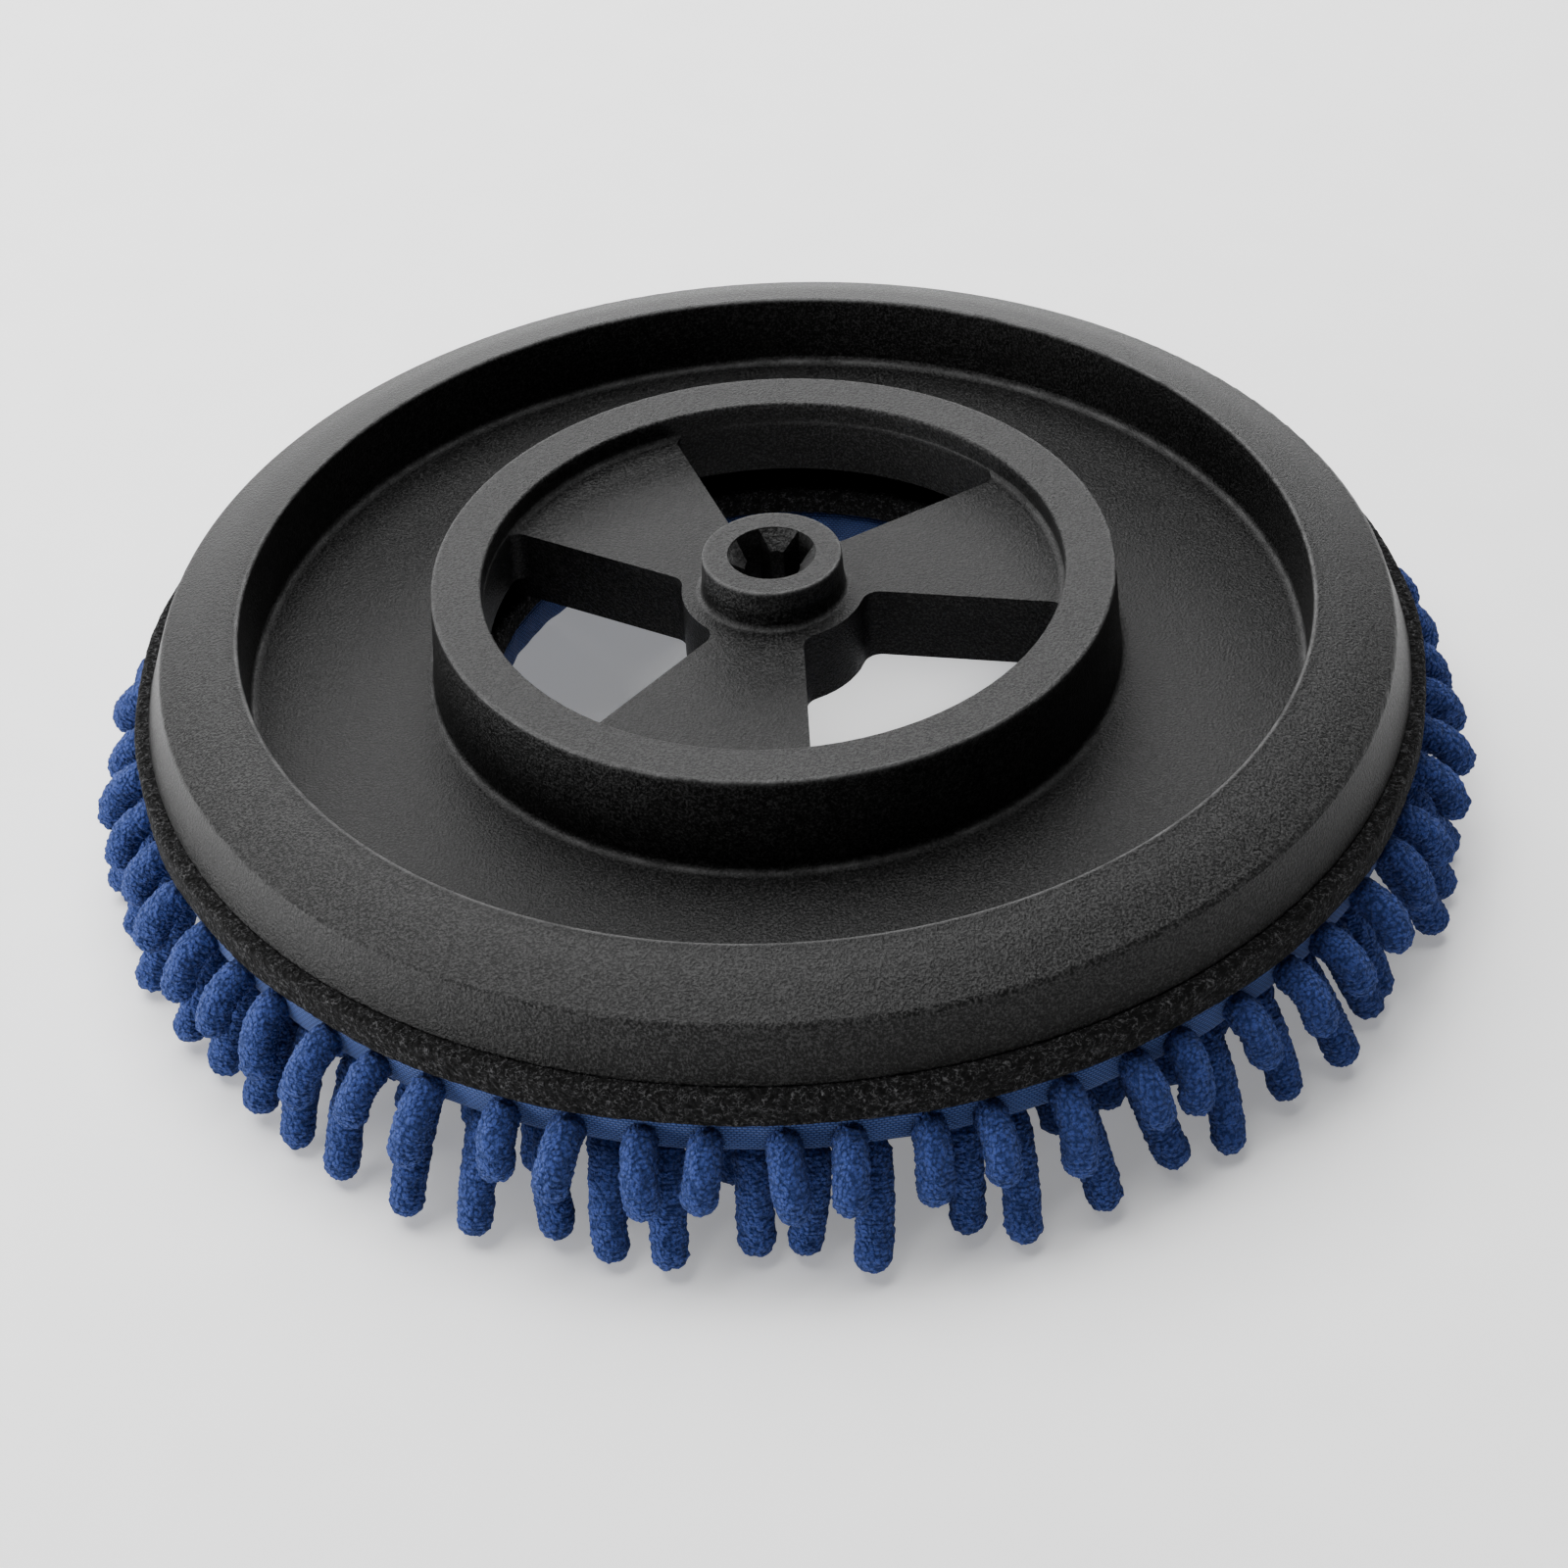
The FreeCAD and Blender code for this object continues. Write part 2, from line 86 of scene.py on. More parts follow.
# ------------------------------------------------------------------ mesh helpers
def new_mesh_object(name, verts, faces, uvs=None, smooth=True):
    """verts (n, 3), faces as one list of index tuples, uvs one pair per face corner."""
    mesh = bpy.data.meshes.new(name)
    mesh.from_pydata([tuple(v) for v in verts], [], faces)
    if uvs is not None:
        layer = mesh.uv_layers.new(name="cloth")
        layer.data.foreach_set("uv", np.asarray(uvs, dtype=np.float32).ravel())
    mesh.update()
    if smooth:
        mesh.polygons.foreach_set("use_smooth", [True] * len(mesh.polygons))
    obj = bpy.data.objects.new(name, mesh)
    bpy.context.scene.collection.objects.link(obj)
    return obj


def rounded(points, steps=5):
    """Closed (r, z) outline with each corner (r, z, radius) turned into a short arc."""
    out = []
    count = len(points)
    for i in range(count):
        here = np.array(points[i][:2])
        back = np.array(points[i - 1][:2]) - here
        ahead = np.array(points[(i + 1) % count][:2]) - here
        radius = points[i][2]
        if radius <= 0.0:
            out.append(tuple(here))
            continue
        u = back / np.linalg.norm(back)
        v = ahead / np.linalg.norm(ahead)
        half = 0.5 * math.acos(max(-1.0, min(1.0, float(u @ v))))
        run = radius / math.tan(half)
        bisector = (u + v) / np.linalg.norm(u + v)
        centre = here + bisector * radius / math.sin(half)
        start = here + u * run - centre
        end = here + v * run - centre
        a0 = math.atan2(start[1], start[0])
        a1 = math.atan2(end[1], end[0])
        turn = (a1 - a0 + math.pi) % (2.0 * math.pi) - math.pi
        for k in range(steps + 1):
            a = a0 + turn * k / steps
            out.append((centre[0] + radius * math.cos(a), centre[1] + radius * math.sin(a)))
    return out


def densified(outline, spacing):
    """Adds points so that no side is longer than spacing(r, z)."""
    out = []
    for i, a in enumerate(outline):
        b = outline[(i + 1) % len(outline)]
        length = math.dist(a, b)
        if length < 1e-7:
            continue
        parts = max(1, math.ceil(length / spacing(0.5 * (a[0] + b[0]), 0.5 * (a[1] + b[1]))))
        for k in range(parts):
            t = k / parts
            out.append((a[0] + (b[0] - a[0]) * t, a[1] + (b[1] - a[1]) * t))
    return out


def turned(name, outline, segments=ROUND_SEGMENTS, ripple=None):
    """Ring swept from a closed outline; UVs are metres round the ring and along the outline."""
    n = len(outline)
    prof = np.array(outline)
    along = np.concatenate([[0.0], np.cumsum(np.linalg.norm(
        np.roll(prof, -1, axis=0) - prof, axis=1))])
    widest_r = float(prof[:, 0].max())
    angle = np.linspace(0.0, 2.0 * math.pi, segments, endpoint=False)
    r = np.tile(prof[:, 0], (segments, 1))
    z = np.tile(prof[:, 1], (segments, 1))
    if ripple is not None:
        dr, dz = ripple(angle[:, None], r, z)
        r = r + dr
        z = z + dz
    verts = np.stack([r * np.cos(angle)[:, None], r * np.sin(angle)[:, None], z], axis=2)
    faces = []
    uvs = []
    step = 2.0 * math.pi * widest_r / segments
    for i in range(segments):
        j = (i + 1) % segments
        for k in range(n):
            m = (k + 1) % n
            faces.append((i * n + k, i * n + m, j * n + m, j * n + k))
            uvs += [(i * step, along[k]), (i * step, along[k + 1]),
                    ((i + 1) * step, along[k + 1]), ((i + 1) * step, along[k])]
    obj = new_mesh_object(name, verts.reshape(-1, 3), faces, uvs)
    outward_normals(obj)
    return obj


def outward_normals(obj):
    """Turns the faces round if the closed mesh is inside out."""
    mesh = obj.data
    volume = 0.0
    for poly in mesh.polygons:
        volume += poly.center.dot(poly.normal) * poly.area
    if volume < 0.0:
        mesh.flip_normals()


def clouds(name, size, basis="ORIGINAL_PERLIN", depth=2):
    texture = bpy.data.textures.new(name, "CLOUDS")
    texture.noise_scale = size
    texture.noise_basis = basis
    texture.noise_depth = depth
    return texture


def roughen(obj, texture, strength):
    """Moves the surface in and out along its normals by a procedural noise."""
    mod = obj.modifiers.new("pile_" + texture.name, "DISPLACE")
    mod.texture = texture
    mod.texture_coords = "LOCAL"
    mod.strength = strength
    mod.mid_level = 0.5


# ------------------------------------------------------------------ node helpers
class Nodes:
    """A short way to write a material's node tree."""

    def __init__(self, name):
        self.material = bpy.data.materials.new(name)
        self.material.use_nodes = True
        self.tree = self.material.node_tree
        self.tree.nodes.clear()
        self.out = self.tree.nodes.new("ShaderNodeOutputMaterial")
        self.shader = self.tree.nodes.new("ShaderNodeBsdfPrincipled")
        self.link(self.shader.outputs["BSDF"], self.out.inputs["Surface"])

    def link(self, a, b):
        self.tree.links.new(a, b)

    def put(self, socket, value):
        if isinstance(value, bpy.types.NodeSocket):
            self.link(value, socket)
        elif isinstance(value, tuple) and len(value) == 3 and socket.type == "RGBA":
            socket.default_value = (*value, 1.0)
        else:
            socket.default_value = value

    def set(self, **values):
        for name, value in values.items():
            self.put(self.shader.inputs[name.replace("_", " ")], value)

    def place(self):
        """Object coordinates, which are metres in the shared frame."""
        return self.tree.nodes.new("ShaderNodeTexCoord").outputs["Object"]

    def cloth_uv(self):
        """Metres along and across the cloth or yarn."""
        node = self.tree.nodes.new("ShaderNodeUVMap")
        node.uv_map = "cloth"
        return node.outputs["UV"]

    def noise(self, where, scale, detail=2.0, roughness=0.5):
        node = self.tree.nodes.new("ShaderNodeTexNoise")
        self.link(where, node.inputs["Vector"])
        node.inputs["Scale"].default_value = scale
        node.inputs["Detail"].default_value = detail
        node.inputs["Roughness"].default_value = roughness
        return node.outputs["Fac"]

    def cells(self, where, scale):
        node = self.tree.nodes.new("ShaderNodeTexVoronoi")
        self.link(where, node.inputs["Vector"])
        node.inputs["Scale"].default_value = scale
        return node.outputs["Distance"]

    def math(self, operation, a, b=0.0, clamp=False):
        node = self.tree.nodes.new("ShaderNodeMath")
        node.operation = operation
        node.use_clamp = clamp
        self.put(node.inputs[0], a)
        self.put(node.inputs[1], b)
        return node.outputs[0]

    def parts(self, where):
        node = self.tree.nodes.new("ShaderNodeSeparateXYZ")
        self.link(where, node.inputs[0])
        return node.outputs[0], node.outputs[1], node.outputs[2]

    def spread(self, value, low, high, out_low=0.0, out_high=1.0):
        """Maps low..high to out_low..out_high, clamped at both ends."""
        node = self.tree.nodes.new("ShaderNodeMapRange")
        self.put(node.inputs["Value"], value)
        node.inputs["From Min"].default_value = low
        node.inputs["From Max"].default_value = high
        node.inputs["To Min"].default_value = out_low
        node.inputs["To Max"].default_value = out_high
        return node.outputs["Result"]

    def blend(self, factor, a, b):
        node = self.tree.nodes.new("ShaderNodeMix")
        node.data_type = "RGBA"
        self.put(node.inputs[0], factor)
        self.put(node.inputs[6], a)
        self.put(node.inputs[7], b)
        return node.outputs[2]

    def bump(self, height, distance, strength=1.0, normal=None):
        node = self.tree.nodes.new("ShaderNodeBump")
        self.put(node.inputs["Height"], height)
        node.inputs["Distance"].default_value = distance
        node.inputs["Strength"].default_value = strength
        if normal is not None:
            self.link(normal, node.inputs["Normal"])
        return node.outputs["Normal"]


def near(m, value, target, reach):
    """1 where value is at target, falling to 0 at reach."""
    gap = m.math("ABSOLUTE", m.math("SUBTRACT", value, target))
    return m.spread(gap, 0.0, reach, 1.0, 0.0)


# ------------------------------------------------------------------ materials
def moulded_black():
    """Black moulded plastic with a fine spark grain; painted light makes the ring, rim land and
    hub lighter than the trough, and painted highlight lines run along edges and feet.
    """
    m = Nodes("moulded_black")
    place = m.place()
    x, y, z = m.parts(place)
    radius = m.math("SQRT", m.math("ADD", m.math("MULTIPLY", x, x), m.math("MULTIPLY", y, y)))
    grain = m.noise(place, 1350.0, 2.0, 0.75)
    pits = m.cells(place, 1100.0)
    patches = m.noise(place, 22.0, 4.0, 0.55)
    highlight_breakup = m.noise(place, 140.0, 3.0, 0.7)
    specks = m.spread(grain, 0.47, 0.66)
    tone = m.blend(specks, (0.0012, 0.0012, 0.0012), (0.030, 0.030, 0.030))
    tone = m.blend(m.spread(patches, 0.35, 0.75, 0.0, 0.25), tone, (0.007, 0.007, 0.007))
    # Painted light: the raised faces (ring, rim land and hub) are blended lighter than the trough,
    # as if more light falls on them.
    raised = m.math("MAXIMUM", m.spread(z, 0.0795, 0.0815),
                    m.math("MULTIPLY", m.spread(radius, 0.1480, 0.1520),
                           m.spread(z, 0.0560, 0.0720)))
    painted_top_light = m.math("MULTIPLY", raised, m.spread(grain, 0.44, 0.62, 0.10, 0.75))
    tone = m.blend(painted_top_light, tone, (0.040, 0.040, 0.040))
    # Painted highlight: thin lighter, slightly glossier lines along these edges and feet, broken
    # up by noise.
    edge_highlight = 0.0
    for edge_r, edge_z, reach_out, reach_up in HIGHLIGHT_LINE_PLACES.values():
        line = m.math("MULTIPLY", near(m, radius, edge_r, reach_out), near(m, z, edge_z, reach_up))
        edge_highlight = m.math("MAXIMUM", line, edge_highlight)
    edge_highlight = m.math("MULTIPLY", edge_highlight, m.spread(highlight_breakup, 0.35, 0.65, 0.3, 1.0))
    tone = m.blend(edge_highlight, tone, (0.085, 0.085, 0.085))
    shine = m.spread(grain, 0.36, 0.66, 0.28, 0.50)
    shine = m.math("SUBTRACT", shine, m.math("MULTIPLY", edge_highlight, 0.08))
    normal = m.bump(grain, 0.00042, 0.85)
    normal = m.bump(pits, 0.00018, 0.5, normal)
    m.set(Base_Color=tone, Roughness=shine, Normal=normal, IOR=1.22)
    return m.material


def curls(m, where, scale, width):
    """Thin winding lines, like loose fibres: 1 on a line, 0 beside it."""
    return near(m, m.noise(where, scale, 1.0, 0.5), 0.5, width)


def black_velour():
    """Coarse black hook felt: curly grey fibres over near-black depth."""
    m = Nodes("black_velour")
    place = m.place()
    tufts = m.cells(place, 700.0)
    fibres = m.math("MAXIMUM", curls(m, place, 520.0, 0.05), curls(m, place, 830.0, 0.06))
    broken = m.spread(m.noise(place, 900.0, 2.0, 0.6), 0.42, 0.60)
    fibres = m.math("MULTIPLY", fibres, broken)
    clumps = m.spread(m.noise(place, 430.0, 2.0, 0.6), 0.39, 0.52)
    fibres = m.math("MULTIPLY", fibres, clumps)
    tone = m.blend(clumps, (0.0006, 0.0006, 0.0006), (0.0022, 0.0022, 0.0023))
    tone = m.blend(fibres, tone, (0.092, 0.092, 0.095))
    normal = m.bump(m.math("ADD", fibres, m.math("MULTIPLY", tufts, -0.9)), 0.0008, 0.9)
    m.set(Base_Color=tone, Roughness=0.95, Normal=normal, Specular_IOR_Level=0.15)
    return m.material


FLOAT_LENGTH = 2.0 * math.pi * PAD_OUTER_R / 794
FLOAT_ROW = 0.00075


def woven_tape():
    """Blue binding tape: short bright floats in staggered rows on a dark ground."""
    m = Nodes("woven_tape")
    u, v, _ = m.parts(m.cloth_uv())
    place = m.place()
    row = m.math("DIVIDE", v, FLOAT_ROW)
    stagger = m.math("MULTIPLY", m.math("MODULO", m.math("FLOOR", row), 2.0), 0.5)
    column = m.math("ADD", m.math("DIVIDE", u, FLOAT_LENGTH), stagger)
    across = m.math("ABSOLUTE", m.math("SUBTRACT", m.math("FRACT", row), 0.5))
    along = m.math("ABSOLUTE", m.math("SUBTRACT", m.math("FRACT", column), 0.5))
    float_top = m.math("MULTIPLY", m.spread(across, 0.14, 0.42, 1.0, 0.0),
                       m.spread(along, 0.28, 0.46, 1.0, 0.0))
    fuzz = m.noise(place, 2400.0, 2.0, 0.7)
    patches = m.noise(place, 60.0, 3.0, 0.5)
    height = m.math("ADD", float_top, m.math("MULTIPLY", fuzz, 0.35))
    tone = m.blend(float_top, (0.009, 0.023, 0.095), (0.046, 0.094, 0.300))
    tone = m.blend(m.spread(patches, 0.35, 0.7, 0.0, 0.25), tone, (0.019, 0.044, 0.160))
    m.set(Base_Color=tone, Roughness=0.78, Normal=m.bump(height, 0.00028, 0.8))
    m.set(Specular_IOR_Level=0.25, Sheen_Weight=0.12, Sheen_Roughness=0.5)
    return m.material


def chenille(name, dark, light):
    """Fuzzy microfibre: painted shade in the pits between tufts, faint cross ribs, short bright
    pile.
    """
    m = Nodes(name)
    place = m.place()
    _, v, _ = m.parts(m.cloth_uv())
    tufts = m.cells(place, 900.0)
    fibre = m.noise(place, 1700.0, 3.0, 0.75)
    patches = m.noise(place, 120.0, 2.0, 0.5)
    rib = m.math("ABSOLUTE", m.math("SINE", m.math("MULTIPLY", v, math.pi / 0.0011)))
    # Painted shade: the pits between tufts are darkened in the colour.
    pit = m.spread(tufts, 0.34, 0.72)
    lit = m.math("SUBTRACT", m.spread(fibre, 0.20, 0.58), m.math("MULTIPLY", pit, 0.75), True)
    lit = m.math("ADD", lit, m.math("MULTIPLY", rib, 0.14), True)
    tone = m.blend(lit, dark, light)
    tone = m.blend(m.spread(patches, 0.3, 0.7, 0.0, 0.25), tone, dark)
    height = m.math("ADD", fibre, m.math("MULTIPLY", pit, -0.8))
    height = m.math("ADD", height, m.math("MULTIPLY", rib, 0.3))
    m.set(Base_Color=tone, Roughness=0.92, Normal=m.bump(height, 0.0009, 1.0))
    m.set(Specular_IOR_Level=0.12, Sheen_Weight=0.15, Sheen_Roughness=0.5)
    m.set(Sheen_Tint=(0.45, 0.55, 0.95))
    return m.material


def plain_weave(name, dark, light, pitch):
    """Flat over-and-under cloth."""
    m = Nodes(name)
    place = m.place()
    x, y, _ = m.parts(place)
    over = m.math("ABSOLUTE", m.math("SINE", m.math("MULTIPLY", x, math.pi / pitch)))
    under = m.math("ABSOLUTE", m.math("SINE", m.math("MULTIPLY", y, math.pi / pitch)))
    weave = m.math("MULTIPLY", over, under)
    fuzz = m.noise(place, 1800.0, 2.0, 0.7)
    tone = m.blend(m.spread(weave, 0.1, 0.8), dark, light)
    height = m.math("ADD", weave, m.math("MULTIPLY", fuzz, 0.5))
    m.set(Base_Color=tone, Roughness=0.88, Normal=m.bump(height, 0.0004, 0.8))
    m.set(Specular_IOR_Level=0.2, Sheen_Weight=0.3, Sheen_Roughness=0.5)
    return m.material


def open_foam():
    m = Nodes("open_foam")
    place = m.place()
    pores = m.cells(place, 700.0)
    cloud = m.noise(place, 90.0, 3.0, 0.5)
    tone = m.blend(m.spread(pores, 0.05, 0.5), (0.34, 0.35, 0.37), (0.12, 0.125, 0.13))
    tone = m.blend(m.spread(cloud, 0.3, 0.7, 0.0, 0.4), tone, (0.26, 0.26, 0.25))
    m.set(Base_Color=tone, Roughness=0.9, Normal=m.bump(pores, 0.0006, 0.8))
    m.set(Specular_IOR_Level=0.2)
    return m.material


def sewing_thread():
    m = Nodes("sewing_thread")
    place = m.place()
    twist = m.noise(place, 3000.0, 2.0, 0.6)
    tone = m.blend(m.spread(twist, 0.35, 0.65), (0.010, 0.035, 0.130), (0.040, 0.120, 0.360))
    m.set(Base_Color=tone, Roughness=0.6, Normal=m.bump(twist, 0.0002, 0.7))
    m.set(Specular_IOR_Level=0.4, Sheen_Weight=0.2, Sheen_Roughness=0.4)
    return m.material


PLASTIC = moulded_black()
VELOUR = black_velour()
TAPE_CLOTH = woven_tape()
CHENILLE = chenille("blue_chenille", (0.006, 0.017, 0.076), (0.048, 0.083, 0.318))
BASE_CLOTH = plain_weave("blue_base_cloth", (0.008, 0.030, 0.110), (0.030, 0.090, 0.270), 0.0011)
LOOP_CLOTH = plain_weave("blue_loop_cloth", (0.010, 0.036, 0.130), (0.042, 0.120, 0.340), 0.0008)
FOAM = open_foam()
THREAD = sewing_thread()


def dress(obj, material, body, node):
    """Gives a new piece its material and its body, and hides the CAD node it stands for."""
    obj.data.materials.append(material)
    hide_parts(node)
    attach(obj, body)


# ------------------------------------------------------------------ drive plate
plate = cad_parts["driver_plate"]
if plate.data.materials:
    for i in range(len(plate.data.materials)):
        plate.material_slots[i].material = PLASTIC
else:
    plate.data.materials.append(PLASTIC)

# ------------------------------------------------------------------ hook felt
FINE = 0.0009
COARSE = 0.0060
TUFT_RISE = 0.0006
PILE_REACH_OUT = 0.0035
PILE_REACH_IN = 0.0012


def felt_spacing(r, z):
    at_edge = r > FELT_LIP_R - 0.001 or r < FELT_INNER_R + 0.002
    return FINE if at_edge else COARSE


felt_outline = densified(rounded([
    (FELT_INNER_R, FELT_BOTTOM, 0.0012),
    (FELT_OUTER_R, FELT_BOTTOM, 0.0018),
    (FELT_OUTER_R, FELT_LIP_TOP, 0.0016),
    (FELT_LIP_R, FELT_LIP_TOP, 0.0),
    (FELT_LIP_R - (FELT_LIP_TOP - FELT_TOP), FELT_TOP, 0.0),
    (FELT_INNER_R, FELT_TOP, 0.0012),
]), felt_spacing)


def felt_ripple(angle, r, z):
    """The cut edge isn't a perfect circle; hidden faces stay flat."""
    wave = 0.00025 * np.sin(9 * angle + 0.7) + 0.00018 * np.sin(23 * angle + 2.1)
    outside = np.clip((r - FELT_LIP_R) / (FELT_OUTER_R - FELT_LIP_R), 0.0, 1.0)
    return wave * outside, 0.0 * r


felt = turned("hook_felt", felt_outline, ROUND_SEGMENTS, felt_ripple)
pile = felt.vertex_groups.new(name="pile")
shown_edge = []
for vertex in felt.data.vertices:
    r = math.hypot(vertex.co.x, vertex.co.y)
    if r > FELT_LIP_R + PILE_REACH_OUT or r < FELT_INNER_R + PILE_REACH_IN:
        shown_edge.append(vertex.index)
pile.add(shown_edge, 1.0, "REPLACE")
roughen(felt, clouds("felt_tufts", 0.0011, "ORIGINAL_PERLIN", 1), TUFT_RISE)
felt.modifiers[-1].vertex_group = "pile"
dress(felt, VELOUR, "driver", "hook_layer")


# ------------------------------------------------------------------ pad layers
def even(spacing):
    return lambda r, z: spacing


CORE_SETBACK = 0.0016
CORE_ROUND = 0.0024
core = turned("foam_core", densified(rounded([
    (PAD_INNER_R + CORE_SETBACK, CORE_BOTTOM, CORE_ROUND),
    (PAD_OUTER_R - CORE_SETBACK, CORE_BOTTOM, CORE_ROUND),
    (PAD_OUTER_R - CORE_SETBACK, CORE_TOP, CORE_ROUND),
    (PAD_INNER_R + CORE_SETBACK, CORE_TOP, CORE_ROUND),
]), even(0.006)), 240)
roughen(core, clouds("foam_pores", 0.004), 0.0003)
dress(core, FOAM, "pad", "pad_foam_core")

LAYER_R = (PAD_INNER_R + 0.0022, PAD_OUTER_R - 0.0022)
LAYER_STEP = 0.0014
LAP_CLEARANCE = 0.0003


def cloth_ring(name, low, high, material, node):
    """One cloth of the pad: a thin ring whose edges dive under the tapes."""
    lap_in = PAD_INNER_R + TAPE_LAP + LAP_CLEARANCE
    lap_out = PAD_OUTER_R - TAPE_LAP - LAP_CLEARANCE
    up = high > CORE_TOP
    outer_face = high if up else low
    inner_face = low if up else high
    shelf = outer_face - LAYER_STEP if up else outer_face + LAYER_STEP

    def quilted(angle, r, z):
        """Sewn down along each strand row, swelling between the rows."""
        swell = QUILT_SWELL * np.abs(np.sin(np.pi * (r - ROW_RADII[0]) / ROW_SPACING))
        return 0.0 * r, np.where(np.abs(z - outer_face) < 0.0002, -swell, 0.0)

    outline = densified(rounded([
        (LAYER_R[0], inner_face, 0.0),
        (LAYER_R[1], inner_face, 0.0),
        (LAYER_R[1], shelf, 0.0),
        (lap_out, shelf, 0.0),
        (lap_out, outer_face, 0.0006),
        (lap_in, outer_face, 0.0006),
        (lap_in, shelf, 0.0),
        (LAYER_R[0], shelf, 0.0),
    ]), even(0.0016))
    cloth = turned(name, outline, 360, None if up else quilted)
    dress(cloth, material, "pad", node)
    return cloth


loop_cloth = cloth_ring("loop_cloth", CORE_TOP + 0.0001, PAD_TOP, LOOP_CLOTH,
                        "pad_loop_face")
base_cloth = cloth_ring("base_cloth", PAD_BOTTOM, CORE_BOTTOM - 0.0001, BASE_CLOTH,
                        "pad_base_cloth")


# ------------------------------------------------------------------ binding tapes
def binding_tape(name, edge_r, inward, node, phase):
    """Woven tape folded round the pad's edge, a little uneven where it was sewn."""
    lap = edge_r + inward * TAPE_LAP
    inside = edge_r + inward * TAPE

    def ripple(angle, r, z):
        face = np.exp(-((r - edge_r) / 0.0022) ** 2)
        swell = 0.00018 * np.sin(31 * angle + phase) + 0.00012 * np.sin(57 * angle)
        crown = 0.0005 * np.sin(np.pi * (z - PAD_BOTTOM) / (PAD_TOP - PAD_BOTTOM))
        return -inward * face * (swell + crown - 0.0003), 0.0 * r

    tape = turned(name, densified(rounded([
        (lap, PAD_TOP, 0.0005),
        (edge_r, PAD_TOP, 0.0024),
        (edge_r, PAD_BOTTOM, 0.0024),
        (lap, PAD_BOTTOM, 0.0005),
        (lap, PAD_BOTTOM + TAPE, 0.0),
        (inside, PAD_BOTTOM + TAPE, 0.0012),
        (inside, PAD_TOP - TAPE, 0.0012),
        (lap, PAD_TOP - TAPE, 0.0),
    ]), even(0.0013)), 720, ripple)
    dress(tape, TAPE_CLOTH, "pad", node)


binding_tape("outer_binding_tape", PAD_OUTER_R, -1, "outer_binding", 0.4)
binding_tape("inner_binding_tape", PAD_INNER_R, 1, "inner_binding", 1.9)


# ------------------------------------------------------------------ tubes and stitches
def tube_along(path, radii, sides, uv_span):
    """Vertices, faces and corner UVs of a closed tube through the path's points."""
    path = np.array(path)
    count = len(path)
    ahead = np.gradient(path, axis=0)
    ahead /= np.linalg.norm(ahead, axis=1)[:, None]
    out = np.array([path[:, 0].mean(), path[:, 1].mean(), 0.0])
    side = np.cross(np.array([0.0, 0.0, 1.0]), out)
    side /= np.linalg.norm(side)
    verts = []
    for k in range(count):
        s = side - ahead[k] * float(side @ ahead[k])
        s /= np.linalg.norm(s)
        n = np.cross(ahead[k], s)
        for j in range(sides):
            a = 2.0 * math.pi * j / sides
            verts.append(path[k] + radii[k] * (math.cos(a) * s + math.sin(a) * n))
    length = np.concatenate([[0.0], np.cumsum(np.linalg.norm(np.diff(path, axis=0), axis=1))])
    faces = []
    uvs = []
    for k in range(count - 1):
        for j in range(sides):
            m = (j + 1) % sides
            faces.append((k * sides + j, k * sides + m, (k + 1) * sides + m, (k + 1) * sides + j))
            u0 = uv_span * j / sides
            u1 = uv_span * (j + 1) / sides
            uvs += [(u0, length[k]), (u1, length[k]), (u1, length[k + 1]), (u0, length[k + 1])]
    for ring, tip in ((0, 0.0), (count - 1, length[-1])):
        centre = len(verts)
        verts.append(path[ring])
        for j in range(sides):
            m = (j + 1) % sides
            a, b = (ring * sides + m, ring * sides + j)
            if ring:
                a, b = b, a
            faces.append((a, b, centre))
            uvs += [(0.0, tip), (uv_span, tip), (0.5 * uv_span, tip)]
    return verts, faces, uvs


def joined(name, bits):
    """One object from many separate closed tubes."""
    verts, faces, uvs = [], [], []
    for v, f, t in bits:
        start = len(verts)
        verts += v
        faces += [tuple(i + start for i in face) for face in f]
        uvs += t
    return new_mesh_object(name, verts, faces, uvs)


def stitches(name, radius, node):
    """Short raised stitches, each dipping into the tape at both ends."""
    count = int(2.0 * math.pi * radius / STITCH_PITCH)
    bits = []
    for i in range(count):
        mid = 2.0 * math.pi * i / count
        reach = 0.5 * STITCH_LENGTH / radius
        path, radii = [], []
        for k in range(7):
            t = k / 6.0
            a = mid + reach * (2.0 * t - 1.0)
            lift = PAD_BOTTOM - 0.00035 * math.sin(math.pi * t)
            path.append((radius * math.cos(a), radius * math.sin(a), lift))
            radii.append(0.00033 * (0.35 + 0.65 * math.sin(math.pi * min(max(t, 0.08), 0.92))))
        bits.append(tube_along(path, radii, 8, 0.002))
    dress(joined(name, bits), THREAD, "pad", node)


stitches("outer_tape_stitches", PAD_OUTER_R - STITCH_INSET, "outer_binding_stitches")
stitches("inner_tape_stitches", PAD_INNER_R + STITCH_INSET, "inner_binding_stitches")


